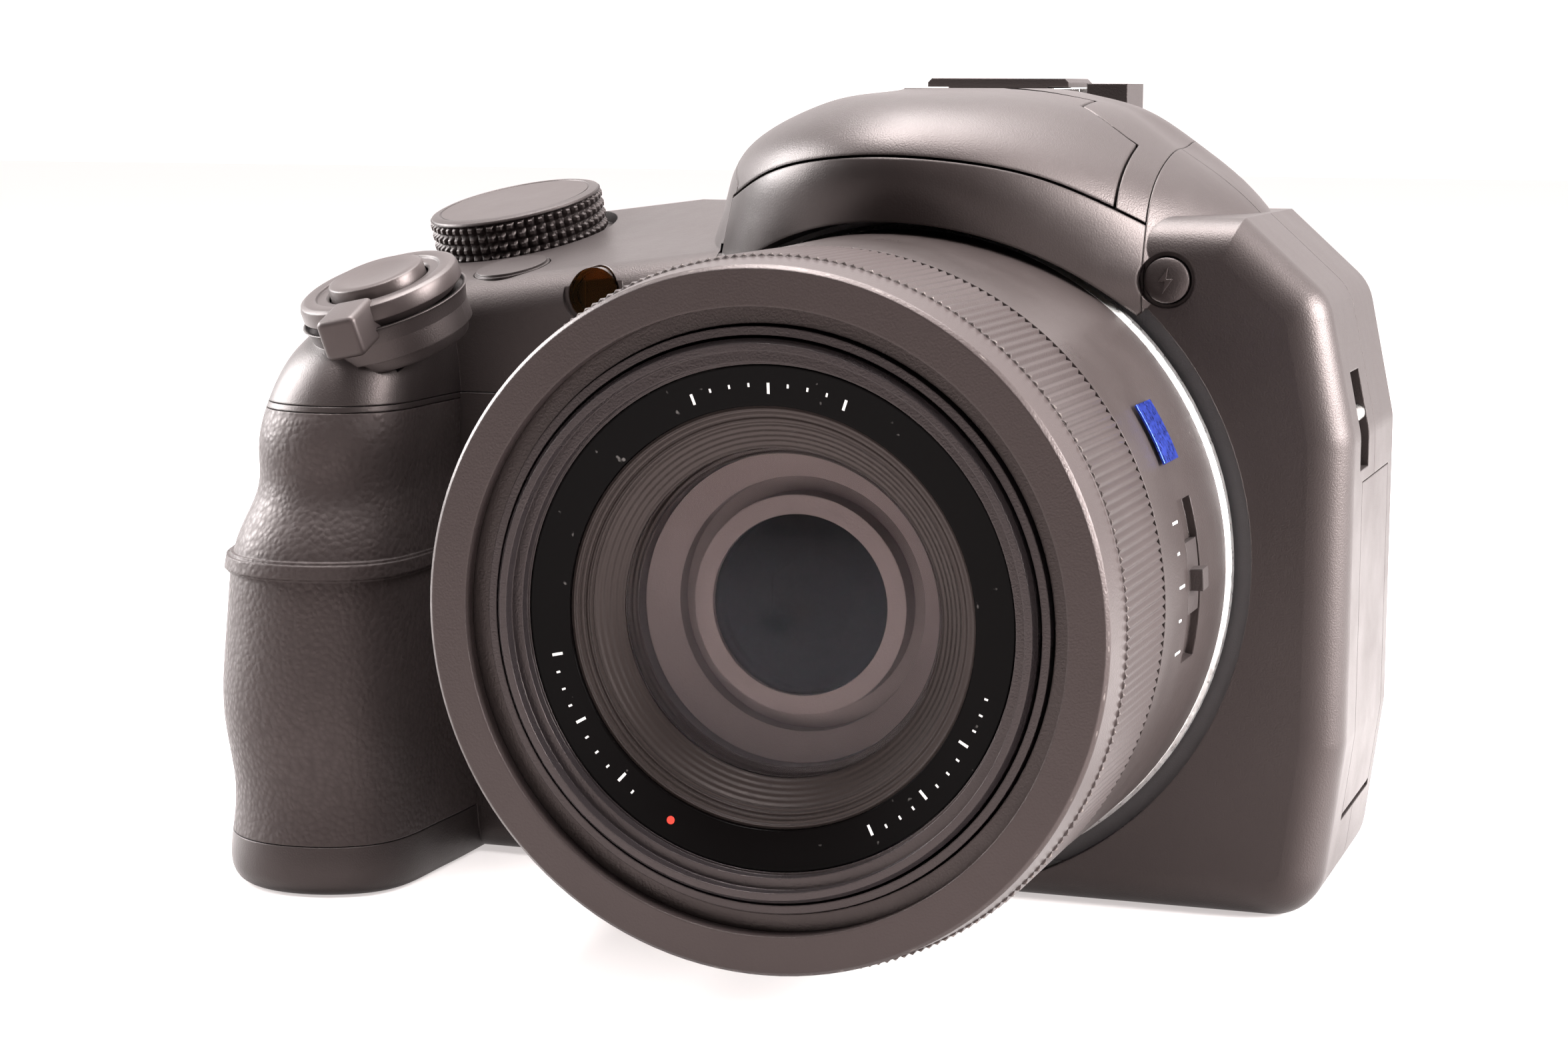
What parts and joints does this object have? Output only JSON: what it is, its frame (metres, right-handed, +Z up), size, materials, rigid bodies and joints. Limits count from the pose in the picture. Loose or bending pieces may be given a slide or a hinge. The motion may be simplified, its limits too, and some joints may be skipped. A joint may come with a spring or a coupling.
{
  "type": "bridge camera",
  "caption": "Compact camera with a deep hand grip, a long telescoping zoom lens with a ribbed manual ring, a pop-up flash, an eye-level finder and a tilting rear screen.",
  "frame": {"origin": "mouth of the tripod socket, in the flat base, straight below the lens axis", "axes": "+X to the right as seen from the front, +Y to the back (towards the finder), +Z up; the lens looks along -Y"},
  "size_m": [0.13, 0.1032, 0.0932],
  "materials": {
    "casing": "fine matt texture",
    "gloss": "polished black",
    "leather": "fine grain",
    "rubber": "matt",
    "barrel": "satin black",
    "bright": "bright",
    "alloy": "milled",
    "steel": "plain",
    "board": "solder resist",
    "glass": "coated",
    "amber": "tinted",
    "diffuser": "ribbed",
    "brass": "plain",
    "inner": "plain moulding"
  },
  "bodies": {
    "camera": {"front_cover": "casing", "top_cover": "casing", "rear_cover": "casing", "bottom_cover": "casing", "front_band": "gloss", "grip_skin": "leather", "thumb_pad": "rubber", "lens_ring_trim": "bright", "fixed_barrel": "barrel", "lens_base": "inner", "image_sensor": "board", "zoom_motor": "steel", "barrel_plate": "bright", "evf_housing": "casing", "eyecup": "rubber", "eyepiece_lens": "glass", "finder_display": "gloss", "accessory_shoe": "steel", "chassis": "alloy", "main_board": "board", "battery_holder": "inner", "battery": "inner", "memory_card": "inner", "tripod_socket": "brass", "strap_lugs": "steel", "connector_block": "inner", "af_lamp": "amber", "base_screws": "steel"},
    "middle_barrel": {"middle_barrel": "barrel"},
    "front_group": {"front_barrel": "barrel", "name_ring": "gloss", "baffle_ring": "barrel", "front_glass": "glass", "lens_cell": "barrel", "second_glass": "glass", "iris_plate": "barrel"},
    "manual_ring": {"manual_ring": "barrel"},
    "focus_switch": {"focus_switch": "casing"},
    "mode_dial": {"mode_dial": "casing"},
    "shutter_button": {"shutter_button": "casing"},
    "zoom_lever": {"zoom_lever": "casing"},
    "power_button": {"power_button": "casing"},
    "custom_button": {"custom_button": "casing"},
    "flash_button": {"flash_button": "casing"},
    "flash_head": {"flash_head": "casing", "flash_window": "diffuser", "flash_pins": "steel"},
    "terminal_door": {"terminal_door": "casing"},
    "battery_door": {"battery_door": "casing"},
    "battery_latch": {"battery_latch": "casing"},
    "lcd_link": {"lcd_link": "inner"},
    "lcd_screen": {"lcd_housing": "casing", "lcd_glass": "gloss"},
    "diopter_dial": {"diopter_dial": "casing"},
    "control_dial": {"control_dial": "casing"},
    "control_wheel": {"control_wheel": "casing"},
    "centre_button": {"centre_button": "casing"},
    "playback_button": {"playback_button": "casing"},
    "menu_button": {"menu_button": "casing"},
    "shoe_cover": {"shoe_cover": "casing"}
  },
  "joints": [
    {"name": "zoom_first", "type": "slide", "parent": "camera", "child": "middle_barrel", "axis": [0, -1, 0], "range_m": [0, 0.022]},
    {"name": "zoom_second", "type": "slide", "parent": "middle_barrel", "child": "front_group", "axis": [0, -1, 0], "range_m": [0, 0.024]},
    {"name": "ring_turn", "type": "hinge", "parent": "camera", "child": "manual_ring", "pos_m": [0, -0.06, 0.0395], "axis": [0, 1, 0], "continuous": true},
    {"name": "focus_slide", "type": "hinge", "parent": "camera", "child": "focus_switch", "pos_m": [0, -0.0397, 0.0395], "axis": [0, -1, 0], "range_deg": [-6, 6]},
    {"name": "mode_turn", "type": "hinge", "parent": "camera", "child": "mode_dial", "pos_m": [-0.058, 0.002, 0.0734], "axis": [-0.126, -0.2132, 0.9689], "continuous": true},
    {"name": "shutter_button_press", "type": "slide", "parent": "camera", "child": "shutter_button", "axis": [0.1821, 0.3081, -0.9338], "range_m": [0, 0.0008], "stiffness_N_per_m": 150},
    {"name": "zoom_lever_turn", "type": "hinge", "parent": "camera", "child": "zoom_lever", "pos_m": [-0.06, -0.033, 0.06664], "axis": [-0.1821, -0.3081, 0.9338], "range_deg": [-20, 20], "stiffness_Nm_per_rad": 0.01},
    {"name": "power_button_press", "type": "slide", "parent": "camera", "child": "power_button", "axis": [0, -1, 0], "range_m": [0, 0.0004], "stiffness_N_per_m": 150},
    {"name": "custom_button_press", "type": "slide", "parent": "camera", "child": "custom_button", "axis": [0.126, 0.2132, -0.9689], "range_m": [0, 0.0004], "stiffness_N_per_m": 150},
    {"name": "flash_button_press", "type": "slide", "parent": "camera", "child": "flash_button", "axis": [0, 1, 0], "range_m": [0, 0.0004], "stiffness_N_per_m": 150},
    {"name": "flash_hinge", "type": "hinge", "parent": "camera", "child": "flash_head", "pos_m": [0, -0.008, 0.0865], "axis": [-1, 0, 0], "range_deg": [0, 48]},
    {"name": "terminal_hinge", "type": "hinge", "parent": "camera", "child": "terminal_door", "pos_m": [0.0476, -0.00175, 0.0107], "axis": [0, 1, 0], "range_deg": [0, 84]},
    {"name": "battery_hinge", "type": "hinge", "parent": "camera", "child": "battery_door", "pos_m": [-0.0732, -0.0215, 0.0008], "axis": [0, 1, 0], "range_deg": [0, 95]},
    {"name": "latch_slide", "type": "slide", "parent": "battery_door", "child": "battery_latch", "axis": [-1, 0, 0], "range_m": [0, 0.0006]},
    {"name": "link_hinge", "type": "hinge", "parent": "camera", "child": "lcd_link", "pos_m": [0.008, 0.0149, 0.0074], "axis": [-1, 0, 0], "range_deg": [0, 45]},
    {"name": "screen_hinge", "type": "hinge", "parent": "lcd_link", "child": "lcd_screen", "pos_m": [0.008, 0.0149, 0.0566], "axis": [1, 0, 0], "range_deg": [0, 90]},
    {"name": "diopter_turn", "type": "hinge", "parent": "camera", "child": "diopter_dial", "pos_m": [0.0165, 0.02, 0.082], "axis": [1, 0, 0], "range_deg": [-120, 120]},
    {"name": "thumb_dial_turn", "type": "hinge", "parent": "camera", "child": "control_dial", "pos_m": [-0.0545, 0.0084, 0.0604], "axis": [0, 0, 1], "continuous": true},
    {"name": "wheel_turn", "type": "hinge", "parent": "camera", "child": "control_wheel", "pos_m": [-0.045, 0.015, 0.03], "axis": [0, 1, 0], "continuous": true},
    {"name": "centre_button_press", "type": "slide", "parent": "camera", "child": "centre_button", "axis": [0, -1, 0], "range_m": [0, 0.0004], "stiffness_N_per_m": 150},
    {"name": "playback_button_press", "type": "slide", "parent": "camera", "child": "playback_button", "axis": [0, -1, 0], "range_m": [0, 0.0004], "stiffness_N_per_m": 150},
    {"name": "menu_button_press", "type": "slide", "parent": "camera", "child": "menu_button", "axis": [0, -1, 0], "range_m": [0, 0.0004], "stiffness_N_per_m": 150},
    {"name": "shoe_slide", "type": "slide", "parent": "camera", "child": "shoe_cover", "axis": [0, 1, 0], "range_m": [0, 0.012]}
  ],
  "couplings": [
    {"joint": "zoom_second", "follows": "zoom_first", "ratio": 1.0909}
  ]
}
